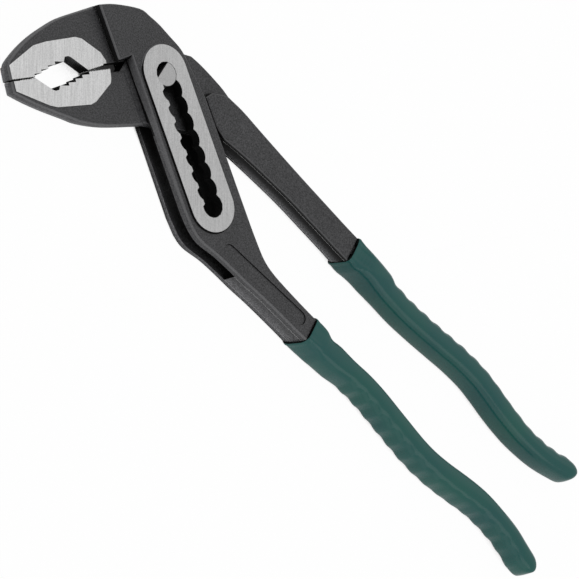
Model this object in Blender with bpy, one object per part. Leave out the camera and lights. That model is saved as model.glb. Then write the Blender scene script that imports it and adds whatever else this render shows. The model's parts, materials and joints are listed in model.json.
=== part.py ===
"""Adjustable box-joint pliers, lying flat, with the jaws closed in the smallest of nine positions.

The slotted leg carries the upper jaw and a box with a toothed slot through both of its cheeks.
The inner leg carries the lower jaw, passes through the box and hangs on a pin that runs in the
slot. Each leg ends in a dipped grip. Plan sizes are measured from the pin in its first notch,
with X along the tool towards the handles and heights from the surface that the tool lies on.
"""

import math

import bmesh
import bpy
from mathutils import Matrix, Vector

# Joint: pin, slot and box
SLOT_POSITIONS = 9
SLOT_PITCH = 0.00544
SLOT_ANGLE = math.radians(-35.8)
SLOT_RADIUS = 0.00396
TOOTH_FLAT_SHARE = 0.73
TOOTH_BACK_SHARE = 0.76
TOOTH_TIP_SHARE = 0.983
RING_WIDTH = 0.0046
RING_LEAD = 0.0009
RING_HEIGHT = 0.0007
RING_FLARE = 0.0004
RING_FOOT_CLEARANCE = 0.00015
CHEEK_THICKNESS = 0.0028
CHEEK_EDGE_LEFT = 0.0025
CHEEK_EDGE_RIGHT = 0.0044
BOX_BACK_ANGLE = math.radians(203)
BOX_SIDE_CLEARANCE = 0.0002
BOX_END_CLEARANCE = 0.0005
PIN_BORE_CLEARANCE = 0.0002
PIN_END_CLEARANCE = 0.00025
PIN_FACE_DEPTH = 0.0001
PIN_FLAT_SHARE = 0.43
PIN_FLAT_ANGLE = math.radians(211.1)
MOST_OPENING = math.radians(60)

# Jaws
JAW_LENGTH = 0.058
JAW_ANGLE = math.radians(45)
JAW_OFFSET = 0.00453
JAW_THICKNESS = 0.0046
PAD_HEIGHT = 0.00015
TONGUE_THICKNESS = 0.0041
THIN_EDGE_SHARE = 0.33
CLOSED_GAP = 0.0003
THROAT_CEILING = 0.0016
THROAT_FLOOR = 0.00105
FINE_TOOTH_PITCH = 0.00063
FINE_TOOTH_DEPTH = 0.00028
COARSE_TEETH = 4
COARSE_TOOTH_DEPTH = 0.0010
HEAD_REACH = 0.0274
STEP_SHARE = 0.566

# Tongue of the inner leg, about the pin
TONGUE_TOP_RADIUS = 0.0134
TONGUE_NECK_ANGLE = math.radians(72)
SHOULDER_CLEARANCE = 0.0008

# Handles and grips
HANDLE_REACH = 0.1657
INNER_REACH = 0.2005
HANDLE_THICKNESS = 0.0100
INNER_HANDLE_THICKNESS = 0.0078
MOUTH_SHARE = 0.308
INNER_MOUTH_SHARE = 0.4384
MOUTH_LEAN_SHARE = 0.27
FORGING_EDGE = 0.0008
FORGING_DRAFT = 0.0002
BOX_DRAFT_END_SHARE = 0.3
GRIP_WIDTH = 0.0084
GRIP_THICKNESS = 0.0108
GRIP_CORNER = 0.0033
GRIP_TIP_SHARE = 0.91
TIP_EDGE_SHARE = 0.72
GRIP_TAPER_SHARE = 0.72
GUARD_LENGTH = 0.010
INNER_GUARD_LENGTH = 0.020
GRIP_WALL = 0.0016
GRIP_CLEARANCE = 0.0003
GRIP_END_WALL = 0.004
GRIP_BUMPS = 15
BUMP_PITCH = 0.00595
BUMP_HEIGHT = 0.00062
BUMP_END = 0.0031
BUMP_FADE = 0.024
BUMP_LOW_SHARE = 0.62
TAPER_SHARES = (0.010, 0.077)
PANEL_RADIUS = 0.0024
PANEL_DEPTH = 0.0004
CUT_OVERRUN = 0.004

# Sizes that follow
SLOT_TRAVEL = SLOT_PITCH * (SLOT_POSITIONS - 1)
RING_RADIUS = SLOT_RADIUS + RING_WIDTH
STEP_REACH = HEAD_REACH * STEP_SHARE
CHEEK_LEFT = RING_RADIUS + CHEEK_EDGE_LEFT
CHEEK_RIGHT = RING_RADIUS + CHEEK_EDGE_RIGHT
PAD_HALF = JAW_THICKNESS / 2 + PAD_HEIGHT
BOX_HALF = PAD_HALF + BOX_SIDE_CLEARANCE
CHEEK_HALF = BOX_HALF + CHEEK_THICKNESS
TOTAL_HALF = CHEEK_HALF + RING_HEIGHT
MIDDLE = TOTAL_HALF
GUARD_THICKNESS = 2 * TOTAL_HALF
PIN_RADIUS = SLOT_RADIUS
SHOULDER_SIDE = CHEEK_RIGHT + SHOULDER_CLEARANCE
FACE_INSET = FORGING_DRAFT + FORGING_EDGE
BOX_SIDE_DRAFT = CHEEK_EDGE_LEFT - RING_FLARE - RING_FOOT_CLEARANCE - FACE_INSET

# Outlines, as shares of the size named beside each
HEAD_OUTLINE_SHARES = (
    (0.22, 0.445), (-0.091, 0.398), (-0.223, 0.365), (-0.336, 0.307), (-0.449, 0.245),
    (-0.558, 0.186), (-0.679, 0.099), (-0.807, -0.015), (-0.949, -0.343), (-1.0, -STEP_SHARE),
)
UPPER_JAW_TOP_SHARES = (
    (0.341, 0.345), (0.433, 0.331), (0.590, 0.305), (0.700, 0.269), (0.795, 0.229),
    (0.874, 0.186), (0.938, 0.143), (0.983, 0.105), (1.0, 0.069),
)
LOWER_JAW_OUTLINE_SHARES = (
    (0.996, -0.069), (0.907, -0.122), (0.800, -0.176), (0.672, -0.233), (0.584, -0.271),
    (0.421, -0.307), (0.169, -0.328),
)
UPPER_PAD_SHARES = (
    (0.990, -0.03), (0.990, 0.082), (0.805, 0.171), (0.719, 0.183), (0.514, 0.189), (0.472, 0.176),
    (0.366, 0.090), (0.341, 0.043), (0.343, -0.03),
)
LOWER_PAD_SHARES = (
    (0.325, 0.03), (0.326, -0.014), (0.331, -0.055), (0.341, -0.081), (0.466, -0.169), (0.502, -0.181),
    (0.728, -0.172), (0.781, -0.157), (0.981, -0.060), (0.984, 0.03),
)
MOUTH_SHARES = (0.838, 0.635, 0.595, 0.470)
MOUTH_DEPTH_SHARE = 0.088
LOWER_MOUTH_DEPTH_SHARE = 0.080
FINE_TEETH_END_SHARE = 0.36
REAR_RISE_SHARE = 0.016
MOUTH_RELIEF_SHARES = ((0.625, 0.062), (0.612, 0.088), (0.588, 0.090), (0.572, 0.083))
TONGUE_ROOT_SHARES = ((0.300, -0.060), (0.215, -0.285))
TONGUE_CORNER_SHARE = 0.04
TONGUE_END_SHARES = ((0.145, -0.0085), (0.170, 0.0), (0.170, 0.030))
SHOULDER_SHARES = (0.102, 0.054)
HANDLE_LOWER_EDGE_SHARES = (
    (-0.012, -0.0676), (0.016, -0.0754), (0.061, -0.0729), (0.101, -0.0739), (0.147, -0.0765),
    (0.185, -0.0770), (0.232, -0.0795), (0.308, -0.0847),
)
HANDLE_UPPER_EDGE_SHARES = (
    (0.308, -0.0318), (0.223, -0.0228), (0.186, -0.0172), (0.162, -0.0100),
    (0.141, 0.0012), (0.101, 0.0279),
)
HANDLE_SPINE_SHARES = (
    (0.270, -0.0560), (0.320, -0.0583), (0.390, -0.0630), (0.493, -0.0670), (0.578, -0.0803),
    (0.662, -0.0953), (0.710, -0.0975), (0.771, -0.0932), (0.825, -0.0896), (0.873, -0.0941),
    (0.916, -0.1017), (0.952, -0.1141), (1.0, -0.1330),
)
INNER_LOWER_EDGE_SHARES = (
    (0.1497, -0.0122), (0.1746, -0.0111), (0.1995, -0.0108), (0.2494, -0.0121), (0.3042, -0.0149),
    (0.3741, -0.0220), (0.4384, -0.0288),
)
INNER_UPPER_EDGE_SHARES = (
    (0.4384, 0.0193), (0.3741, 0.0265), (0.3042, 0.0345), (0.2494, 0.0415), (0.1995, 0.0483),
    (0.1581, 0.0541), (0.1312, 0.0554), (0.1167, 0.0544), (0.0918, 0.0404),
)
HUMP_EDGE_SHARES = (
    (0.1262, 0.0598), (0.1087, 0.0643), (0.0913, 0.0668), (0.0738, 0.0688), (0.0549, 0.0703),
    (0.0349, 0.0703),
)
INNER_SPINE_SHARES = (
    (0.4100, -0.0020), (0.4415, -0.0035), (0.4589, -0.0067), (0.4988, -0.0105), (0.5387, -0.0157),
    (0.5786, -0.0214), (0.6234, -0.0229), (0.6683, -0.0224), (0.7082, -0.0217), (0.7481, -0.0244),
    (0.7805, -0.0312), (0.8130, -0.0394), (0.8479, -0.0464), (0.8878, -0.0514), (0.9377, -0.0509),
    (1.0, -0.0384),
)
HANDLE_WIDTH_SHARES = (
    (0.308, 0.598, 0.598), (0.336, 0.587, 0.589), (0.348, 0.562, 0.583), (0.360, 0.507, 0.607),
    (0.369, 0.490, 0.595), (0.378, 0.520, 0.582), (0.391, 0.542, 0.567), (0.409, 0.524, 0.548),
    (0.427, 0.502, 0.495), (0.445, 0.498, 0.450), (0.469, 0.506, 0.440), (0.517, 0.487, 0.462),
    (0.590, 0.456, 0.476), (0.638, 0.456, 0.471), (0.686, 0.495, 0.452), (0.735, 0.512, 0.487),
    (0.783, 0.521, 0.487), (0.831, 0.480, 0.458), (0.879, 0.463, 0.421), (0.940, 0.452, 0.429),
    (0.976, 0.470, 0.417),
)
INNER_WIDTH_SHARES = (
    (0.438, 0.540, 0.620), (0.4589, 0.560, 0.612), (0.4688, 0.567, 0.576), (0.4788, 0.560, 0.546),
    (0.4938, 0.544, 0.536), (0.5087, 0.543, 0.560), (0.5212, 0.545, 0.562), (0.5287, 0.505, 0.568),
    (0.5362, 0.431, 0.562), (0.5436, 0.417, 0.555), (0.5636, 0.429, 0.533), (0.5935, 0.451, 0.517),
    (0.6434, 0.458, 0.505), (0.7232, 0.463, 0.495), (0.7830, 0.502, 0.468), (0.8230, 0.488, 0.474),
    (0.8628, 0.444, 0.474), (0.8828, 0.419, 0.464), (0.9327, 0.424, 0.444), (0.9791, 0.417, 0.435),
)
BOX_FLOOR_SHARES = ((0.113, -0.0860), (0.117, -0.0780), (0.127, -0.0700), (0.195, -0.0240), (0.215, -0.0030))
PANEL_SPAN_SHARES = ((0.080, -0.0480), (0.278, -0.0556))

STEEL_COLOUR = (0.060, 0.060, 0.063, 1.0)
GROUND_COLOUR = (0.52, 0.52, 0.52, 1.0)
GRIP_COLOUR = (0.028, 0.105, 0.080, 1.0)

CURVE_STEPS = 4
EDGE_STEPS = 3
ROUND_SIDES = 40
CORNER_STEPS = 4
SMOOTH_ANGLE = math.radians(30)
ENLARGED = 1024


# Plan frames
def slot_point(along, across):
    """A plan point given along the slot and across it, towards the inner handle."""
    return Matrix.Rotation(SLOT_ANGLE, 2) @ Vector((along, across))


def jaw_point(along, across):
    """A plan point given along the jaws' closing line, towards the nose, and across it, upwards."""
    return Matrix.Rotation(JAW_ANGLE + math.pi, 2) @ Vector((along, -across - JAW_OFFSET))


def throat_point(across):
    """The plan point where a line beside the slot meets the upper side of the throat."""
    turn = JAW_ANGLE + math.pi / 2 - SLOT_ANGLE
    along = (JAW_OFFSET + THROAT_CEILING - across * math.sin(turn)) / math.cos(turn)
    return slot_point(along, across)


def end_point(along, across):
    """A plan point given in X and Y from the pin's place at the slot's far end."""
    return slot_point(SLOT_TRAVEL, 0) + Vector((along, across))


def plain_point(along, across):
    """A plan point given in X and Y from the pin."""
    return Vector((along, across))


def placed(shares, size, frame):
    """Plan points of a table of shares of one size, in a plan frame."""
    return [frame(size * along, size * across) for along, across in shares]


def polar(radius, angle):
    """A plan point at an angle round the pin."""
    return Vector((radius * math.cos(angle), radius * math.sin(angle)))


# Curves
def smooth(points, steps=CURVE_STEPS):
    """A smooth curve through the points, as a list of points."""
    curve = []
    for i in range(len(points) - 1):
        before = points[max(i - 1, 0)]
        start = points[i]
        end = points[i + 1]
        after = points[min(i + 2, len(points) - 1)]
        for step in range(steps):
            t = step / steps
            curve.append(
                (2 * start + (end - before) * t + (2 * before - 5 * start + 4 * end - after) * t * t
                 + (3 * start - before - 3 * end + after) * t ** 3) / 2
            )
    return curve + [points[-1]]


def arc(centre, radius, start, end, steps):
    """Points on an arc, both ends included."""
    return [centre + polar(radius, start + (end - start) * i / steps) for i in range(steps + 1)]


def inset_outline(points, distances):
    """The outline moved inwards by a distance at each point, with mitred corners."""
    moved = []
    for i, (point, distance) in enumerate(zip(points, distances)):
        before = (point - points[i - 1]).normalized()
        after = (points[(i + 1) % len(points)] - point).normalized()
        normal_before = Vector((-before.y, before.x))
        normal_after = Vector((-after.y, after.x))
        reach = max(1 + normal_before.dot(normal_after), 0.5)
        moved.append(point + distance * (normal_before + normal_after) / reach)
    return moved


# Solids
def finish(name, mesh):
    """A bmesh as an object, with its faces pointing out."""
    bmesh.ops.recalc_face_normals(mesh, faces=mesh.faces)
    data = bpy.data.meshes.new(name)
    mesh.to_mesh(data)
    mesh.free()
    obj = bpy.data.objects.new(name, data)
    bpy.context.collection.objects.link(obj)
    return obj


def skin(mesh, rings, closed=False):
    """Faces between rings of vertices, with a cap on each end unless the rings close on themselves.

    The caps are cut into triangles while enlarged, as very small corners are folded over otherwise.
    """
    count = len(rings[0])
    pairs = list(zip(rings, rings[1:]))
    if closed:
        pairs.append((rings[-1], rings[0]))
    for low, high in pairs:
        for i in range(count):
            j = (i + 1) % count
            mesh.faces.new((low[i], low[j], high[j], high[i]))
    if not closed:
        caps = [mesh.faces.new(reversed(rings[0])), mesh.faces.new(rings[-1])]
        bmesh.ops.scale(mesh, vec=Vector((1, 1, 1)) * ENLARGED, verts=mesh.verts)
        bmesh.ops.triangulate(mesh, faces=caps)
        bmesh.ops.scale(mesh, vec=Vector((1, 1, 1)) / ENLARGED, verts=mesh.verts)


def prism(name, outline, low, high):
    """An outline swept straight up."""
    mesh = bmesh.new()
    rings = [[mesh.verts.new((p.x, p.y, height)) for p in outline] for height in (low, high)]
    skin(mesh, rings)
    return finish(name, mesh)


def leaned(point, height, end):
    """A plan point moved so that what stands at a leaning end leans with it."""
    return point.x + MOUTH_LEAN_SHARE * (height - MIDDLE) * eased(end - GUARD_LENGTH / 2, end, point.x)


def forging(name, outline, half_thickness, edge=FORGING_EDGE, draft=FORGING_DRAFT, end=None, extra=None):
    """A forged plate about the middle plane: drafted sides that part in the middle, and rounded edges."""
    extra = extra or [0] * len(outline)
    side = []
    for i in range(EDGE_STEPS + 1):
        turn = math.pi / 2 * i / EDGE_STEPS
        side.append((draft + edge * (1 - math.cos(turn)), edge * (1 - math.sin(turn))))
    rows = [(-1, inset, drop) for inset, drop in reversed(side)]
    rows.append((0, 0, 0))
    rows += [(1, inset, drop) for inset, drop in side]
    mesh = bmesh.new()
    rings = []
    for sign, inset, drop in rows:
        ring = []
        insets = [inset + abs(sign) * more for more in extra]
        for point, moved in zip(outline, inset_outline(outline, insets)):
            height = MIDDLE + sign * (half_thickness(point) - drop)
            x = moved.x if end is None else leaned(moved, height, end)
            ring.append(mesh.verts.new((x, moved.y, height)))
        rings.append(ring)
    skin(mesh, rings)
    return finish(name, mesh)


def evenly(half_thickness):
    """The thickness of a plate that is even all over."""
    return lambda point: half_thickness


def joined(target, tool, operation):
    """The target after a Boolean with the tool, which is used up."""
    step = target.modifiers.new(operation, "BOOLEAN")
    step.operation = operation
    step.object = tool
    step.solver = "EXACT"
    ready = target.evaluated_get(bpy.context.evaluated_depsgraph_get())
    result = bpy.data.meshes.new_from_object(ready)
    target.modifiers.clear()
    target.data = result
    bpy.data.objects.remove(tool)
    return target


def united(target, *tools):
    """The target with the tools joined on."""
    for tool in tools:
        joined(target, tool, "UNION")
    return target


def cut(target, *tools):
    """The target with the tools cut away."""
    for tool in tools:
        joined(target, tool, "DIFFERENCE")
    return target


# Jaws
def pad(shares):
    """The slightly raised part of a jaw that is ground bright on both faces."""
    outline = placed(shares, JAW_LENGTH, jaw_point)
    return forging("pad", outline, evenly(PAD_HALF), PAD_HEIGHT * THIN_EDGE_SHARE, 0)


def fine_teeth(start, end, rise=0):
    """Small teeth along the closing line between two places, as places and depths."""
    count = max(2, round(abs(end - start) / FINE_TOOTH_PITCH))
    pitch = (end - start) / count
    points = []
    for i in range(count):
        depth = rise * i / count
        points.append((start + pitch * i, depth))
        points.append((start + pitch * (i + 0.5), depth + FINE_TOOTH_DEPTH))
    return points


def coarse_teeth(start, end, depth):
    """Saw teeth up the long flank of the mouth, each with a steep face towards the opening."""
    step = (end - start) / COARSE_TEETH
    points = []
    for i in range(COARSE_TEETH):
        rise = depth * i / COARSE_TEETH
        points.append((start + step * i, rise))
        points.append((start + step * i, rise + COARSE_TOOTH_DEPTH))
    return points


def mouth_line(depth_share, rise_share=0):
    """One jaw's working edge from the nose backwards, as places and heights over the closing line."""
    start, flank_end, back_start, back_end = (JAW_LENGTH * share for share in MOUTH_SHARES)
    depth = JAW_LENGTH * depth_share - COARSE_TOOTH_DEPTH
    relief = depth_share / MOUTH_DEPTH_SHARE
    line = fine_teeth(JAW_LENGTH + CUT_OVERRUN, start)
    line += coarse_teeth(start, flank_end, depth)
    line += [(JAW_LENGTH * along, JAW_LENGTH * across * relief) for along, across in MOUTH_RELIEF_SHARES]
    line += fine_teeth(back_end, JAW_LENGTH * FINE_TEETH_END_SHARE, JAW_LENGTH * rise_share)
    return [(along, across + CLOSED_GAP / 2) for along, across in line]


def upper_mouth_cutter():
    """What the upper jaw leaves open: the mouth and the throat behind it."""
    line = [jaw_point(along, across) for along, across in mouth_line(MOUTH_DEPTH_SHARE, REAR_RISE_SHARE)]
    throat = JAW_LENGTH * FINE_TEETH_END_SHARE
    line.append(jaw_point(throat, THROAT_CEILING))
    line.append(jaw_point(0, THROAT_CEILING))
    line.append(jaw_point(0, -JAW_LENGTH / 2))
    line.append(jaw_point(JAW_LENGTH + CUT_OVERRUN, -JAW_LENGTH / 2))
    return prism("mouth", line, -CUT_OVERRUN, 2 * MIDDLE + CUT_OVERRUN)


def lower_mouth_cutter():
    """The same mouth turned half round, so that the jaws' long flanks face each other."""
    front, back = MOUTH_SHARES[0], MOUTH_SHARES[-1]
    middle = JAW_LENGTH * (front + back)
    line = [jaw_point(middle - along, -across) for along, across in mouth_line(LOWER_MOUTH_DEPTH_SHARE)]
    line.append(jaw_point(JAW_LENGTH + CUT_OVERRUN, -CLOSED_GAP / 2))
    line.append(jaw_point(JAW_LENGTH + CUT_OVERRUN, JAW_LENGTH / 2))
    line.append(jaw_point(middle - JAW_LENGTH - CUT_OVERRUN, JAW_LENGTH / 2))
    return prism("mouth", line, -CUT_OVERRUN, 2 * MIDDLE + CUT_OVERRUN)


# Slotted leg
def slot_outline():
    """The toothed slot: a full round for each notch, with a saw tooth between notches on the left."""
    right = []
    left = []
    half_cusp = SLOT_PITCH / 2
    cusp_angle = math.asin(half_cusp / SLOT_RADIUS)
    flat_side = SLOT_RADIUS * TOOTH_FLAT_SHARE
    flat_angle = math.acos(TOOTH_FLAT_SHARE)
    corner_angle = math.acos(TOOTH_TIP_SHARE)
    for i in range(SLOT_POSITIONS):
        centre = Vector((SLOT_PITCH * i, 0))
        first = i == 0
        last = i == SLOT_POSITIONS - 1
        start = math.pi if first else math.pi / 2 + cusp_angle
        end = 0 if last else math.pi / 2 - cusp_angle
        scallop = arc(centre, SLOT_RADIUS, start, end, ROUND_SIDES // 8)
        right += scallop if first else scallop[1:]
        start = -math.pi if first else -math.pi / 2 - corner_angle
        end = 0 if last else -math.pi / 2 + flat_angle
        left += arc(centre, SLOT_RADIUS, start, end, ROUND_SIDES // 8)
        if not last:
            left.append(centre + Vector((SLOT_PITCH * TOOTH_BACK_SHARE, -flat_side)))
    left = left[1:-1]
    return [slot_point(p.x, p.y) for p in left + list(reversed(right))]


def ring(name, sign):
    """The raised, ground ring round the slot on one cheek, with a flared side."""
    mesh = bmesh.new()
    rings = []
    root = CHEEK_HALF - CHEEK_THICKNESS / 2
    for flare, height in ((RING_FLARE, root), (RING_FLARE, CHEEK_HALF), (0.0, TOTAL_HALF)):
        radius = RING_RADIUS + flare
        outline = arc(Vector((-RING_LEAD, 0)), radius, math.pi / 2, 3 * math.pi / 2, ROUND_SIDES // 2)
        outline += arc(Vector((SLOT_TRAVEL, 0)), radius, -math.pi / 2, math.pi / 2, ROUND_SIDES // 2)
        places = [slot_point(p.x, p.y) for p in outline]
        rings.append([mesh.verts.new((p.x, p.y, MIDDLE + sign * height)) for p in places])
    skin(mesh, rings)
    return finish(name, mesh)


def leg_half_thickness(point):
    """Half the slotted leg's thickness: the joint's, thinning towards the grip."""
    start, end = (end_point(HANDLE_REACH * share, 0).x for share in TAPER_SHARES)
    return CHEEK_HALF + (HANDLE_THICKNESS / 2 - CHEEK_HALF) * eased(start, end, point.x)


def leg_outline():
    """The joint and the bare handle of the slotted leg, from the throat's two corners round."""
    outline = [throat_point(-STEP_REACH), throat_point(-CHEEK_LEFT)]
    outline.append(slot_point(SLOT_TRAVEL - RING_LEAD, -CHEEK_LEFT))
    outline += smooth(placed(HANDLE_LOWER_EDGE_SHARES, HANDLE_REACH, end_point))
    outline += smooth(placed(HANDLE_UPPER_EDGE_SHARES, HANDLE_REACH, end_point))
    outline.append(slot_point(CHEEK_LEFT, CHEEK_RIGHT))
    outline += smooth(placed(HEAD_OUTLINE_SHARES, HEAD_REACH, slot_point))
    return outline


def leg_side_drafts(outline):
    """Each point's extra draft: the cheeks lean in at the box's open side, most at the throat."""
    extra = [0] * len(outline)
    extra[1] = BOX_SIDE_DRAFT
    extra[2] = BOX_SIDE_DRAFT * BOX_DRAFT_END_SHARE
    return extra


def upper_jaw():
    """The upper jaw's plate with its ground pads and its working edge."""
    outline = [jaw_point(JAW_LENGTH, -CUT_OVERRUN), jaw_point(0, -CUT_OVERRUN)]
    outline.append(slot_point(-HEAD_REACH / 2, -STEP_REACH / 2))
    outline.append(slot_point(-HEAD_REACH + CUT_OVERRUN, -STEP_REACH + CUT_OVERRUN))
    outline += smooth(placed(UPPER_JAW_TOP_SHARES, JAW_LENGTH, jaw_point))
    plate = forging("upper_jaw", outline, evenly(JAW_THICKNESS / 2))
    return cut(united(plate, pad(UPPER_PAD_SHARES)), upper_mouth_cutter())


def box_cutter():
    """The box between the cheeks, open on both sides, with a round ceiling and a sloping floor."""
    ceiling = TONGUE_TOP_RADIUS + BOX_END_CLEARANCE
    swing = TONGUE_NECK_ANGLE + MOST_OPENING + math.asin(BOX_END_CLEARANCE / ceiling)
    outline = arc(Vector((0, 0)), ceiling, swing, BOX_BACK_ANGLE, ROUND_SIDES // 3)
    outline.append(slot_point(0, -CHEEK_LEFT - CUT_OVERRUN))
    outline.append(slot_point(SLOT_TRAVEL, -CHEEK_LEFT - CUT_OVERRUN))
    floor = placed(BOX_FLOOR_SHARES, HANDLE_REACH, end_point)
    outline.append(Vector((floor[0].x, floor[0].y - CUT_OVERRUN)))
    outline += smooth(floor)
    outline.append(slot_point(SLOT_TRAVEL + CHEEK_LEFT, SHOULDER_SIDE + CUT_OVERRUN))
    outline.append(slot_point(0, SHOULDER_SIDE + CUT_OVERRUN))
    outline.append(polar(HEAD_REACH, TONGUE_NECK_ANGLE))
    outline.append(polar(HEAD_REACH, swing))
    return prism("box", outline, MIDDLE - BOX_HALF, MIDDLE + BOX_HALF)


def panel_cutter():
    """The long shallow recess on the front of the slotted leg's handle."""
    start, end = placed(PANEL_SPAN_SHARES, HANDLE_REACH, end_point)
    heading = math.atan2(end.y - start.y, end.x - start.x)
    outline = arc(start, PANEL_RADIUS, heading + math.pi / 2, heading + 3 * math.pi / 2, ROUND_SIDES // 4)
    outline += arc(end, PANEL_RADIUS, heading - math.pi / 2, heading + math.pi / 2, ROUND_SIDES // 4)
    mesh = bmesh.new()
    rings = []
    for rise in (-PANEL_DEPTH, CUT_OVERRUN):
        rings.append([mesh.verts.new((p.x, p.y, MIDDLE + leg_half_thickness(p) + rise)) for p in outline])
    skin(mesh, rings)
    return finish("panel", mesh)


def slotted_leg():
    """Upper jaw, joint with its two cheeks, and the long handle, forged in one piece."""
    end = end_point(HANDLE_REACH * MOUTH_SHARE, 0).x
    outline = leg_outline()
    body = forging("slotted_leg", outline, leg_half_thickness, end=end, extra=leg_side_drafts(outline))
    tang_outline = tang(HANDLE_SPINE_SHARES, HANDLE_REACH, end_point)
    body = united(body, upper_jaw(), forging("tang", tang_outline, evenly(tang_half())))
    body = united(body, ring("back_ring", -1), ring("front_ring", 1))
    slot = prism("slot", slot_outline(), -CUT_OVERRUN, 2 * MIDDLE + CUT_OVERRUN)
    return cut(body, box_cutter(), slot, panel_cutter())


# Inner leg
def lower_jaw():
    """The lower jaw's plate with its ground pads and its working edge."""
    outline = [jaw_point(JAW_LENGTH, CUT_OVERRUN)]
    outline += smooth(placed(LOWER_JAW_OUTLINE_SHARES, JAW_LENGTH, jaw_point))
    outline.append(polar(TONGUE_TOP_RADIUS, foot_angle()))
    throat = JAW_LENGTH * LOWER_PAD_SHARES[0][0]
    outline.append(jaw_point(throat, -THROAT_FLOOR))
    outline.append(jaw_point(throat, CUT_OVERRUN))
    plate = forging("lower_jaw", outline, evenly(JAW_THICKNESS / 2))
    return cut(united(plate, pad(LOWER_PAD_SHARES)), lower_mouth_cutter())


def foot_angle():
    """Where the tongue's round top meets the lower jaw, as an angle round the pin."""
    return JAW_ANGLE + math.pi / 2 + math.acos((JAW_OFFSET - THROAT_FLOOR) / TONGUE_TOP_RADIUS)


def tongue():
    """The flat tongue that passes through the box, from inside the jaw to inside the handle."""
    corner = placed(LOWER_JAW_OUTLINE_SHARES, JAW_LENGTH, jaw_point)[-1]
    foot = polar(TONGUE_TOP_RADIUS, foot_angle())
    outline = placed(TONGUE_ROOT_SHARES, JAW_LENGTH, jaw_point)
    outline.append(corner.lerp(foot, TONGUE_CORNER_SHARE))
    outline += placed(TONGUE_END_SHARES, INNER_REACH, plain_point)
    outline += smooth(placed(HUMP_EDGE_SHARES, INNER_REACH, plain_point))
    outline += arc(Vector((0, 0)), TONGUE_TOP_RADIUS, TONGUE_NECK_ANGLE, foot_angle(), ROUND_SIDES // 3)[:-1]
    return forging("tongue", outline, evenly(TONGUE_THICKNESS / 2), FORGING_EDGE * THIN_EDGE_SHARE, 0)


def shoulder_points():
    """The thick handle's step beside the cheeks, from its lower corner to its upper one."""
    return [slot_point(INNER_REACH * share, SHOULDER_SIDE) for share in SHOULDER_SHARES]


def inner_leg():
    """Lower jaw, tongue and the other handle, forged in one piece."""
    low, high = shoulder_points()
    outline = [low]
    outline += smooth(placed(INNER_LOWER_EDGE_SHARES, INNER_REACH, plain_point))
    outline += smooth(placed(INNER_UPPER_EDGE_SHARES, INNER_REACH, plain_point))
    outline.append(high)
    end = INNER_REACH * INNER_MOUTH_SHARE
    body = forging("inner_leg", outline, evenly(INNER_HANDLE_THICKNESS / 2), end=end)
    tang_outline = tang(INNER_SPINE_SHARES, INNER_REACH, plain_point)
    body = united(body, forging("tang", tang_outline, evenly(tang_half())), tongue(), lower_jaw())
    bore = prism("bore", arc(Vector((0, 0)), PIN_RADIUS + PIN_BORE_CLEARANCE, 0, 2 * math.pi, ROUND_SIDES)[1:],
                 -CUT_OVERRUN, 2 * MIDDLE + CUT_OVERRUN)
    return cut(body, bore)


# Pin
def pivot_pin():
    """The pin: round in the tongue, with D-shaped ends that are eased to slide along the slot."""
    round_part = arc(Vector((0, 0)), PIN_RADIUS, 0, 2 * math.pi, ROUND_SIDES)[1:]
    middle = prism("pivot_pin", round_part, MIDDLE - PAD_HALF, MIDDLE + PAD_HALF)
    end_radius = SLOT_RADIUS - PIN_END_CLEARANCE
    half_width = SLOT_RADIUS * TOOTH_FLAT_SHARE - PIN_END_CLEARANCE
    half_angle = math.asin(half_width / end_radius)
    ends = arc(Vector((0, 0)), end_radius, -half_angle, half_angle, ROUND_SIDES // 5)
    ends += arc(Vector((0, 0)), end_radius, math.pi - half_angle, math.pi + half_angle, ROUND_SIDES // 5)
    outline = [slot_point(p.x, p.y) for p in ends]
    bar = prism("ends", outline, PIN_FACE_DEPTH, 2 * MIDDLE - PIN_FACE_DEPTH)
    flat = SLOT_RADIUS * PIN_FLAT_SHARE
    reach = 2 * SLOT_RADIUS
    corners = ((flat, -reach), (2 * reach, -reach), (2 * reach, reach), (flat, reach))
    turn = Matrix.Rotation(PIN_FLAT_ANGLE + SLOT_ANGLE, 2)
    beyond = [turn @ Vector(corner) for corner in corners]
    bar = cut(bar, prism("flat", beyond, -CUT_OVERRUN, 2 * MIDDLE + CUT_OVERRUN))
    return united(middle, bar)


# Grips
def tang_half():
    """Half the thickness of the steel inside a grip."""
    return GRIP_THICKNESS / 2 - GRIP_WALL - GRIP_CLEARANCE


def walk(shares, reach, frame, start, end, count):
    """Places and headings at even steps along a handle's spine, between two plan X values."""
    line = smooth(placed(shares, reach, frame), CURVE_STEPS * 2)
    places = []
    for i in range(count + 1):
        x = start + (end - start) * i / count
        for before, after in zip(line, line[1:]):
            if before.x <= x <= after.x or after == line[-1]:
                places.append(before.lerp(after, (x - before.x) / (after.x - before.x)))
                break
    headings = []
    for i in range(count + 1):
        headings.append((places[min(i + 1, count)] - places[max(i - 1, 0)]).normalized())
    return list(zip(places, headings))


def squared(place, heading, mouth):
    """The heading, turned square to the grip's mouth close to it."""
    share = min((place.x - mouth) / GUARD_LENGTH, 1)
    return Vector((1, 0)).lerp(heading, share).normalized()


def tang(shares, reach, frame):
    """Outline of the steel inside a grip, round-ended, rooted in the bare handle."""
    half = GRIP_WIDTH / 2 - GRIP_WALL - GRIP_CLEARANCE
    start = frame(reach * shares[0][0], 0).x
    end = frame(reach, 0).x - GRIP_END_WALL - half
    places = walk(shares, reach, frame, start, end, ROUND_SIDES // 2)
    lower = [place + half * Vector((heading.y, -heading.x)) for place, heading in places]
    upper = [place + half * Vector((-heading.y, heading.x)) for place, heading in places]
    place, heading = places[-1]
    angle = math.atan2(heading.y, heading.x)
    tip = arc(place, half, angle - math.pi / 2, angle + math.pi / 2, ROUND_SIDES // 5)[1:-1]
    return lower + tip + list(reversed(upper))


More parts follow.
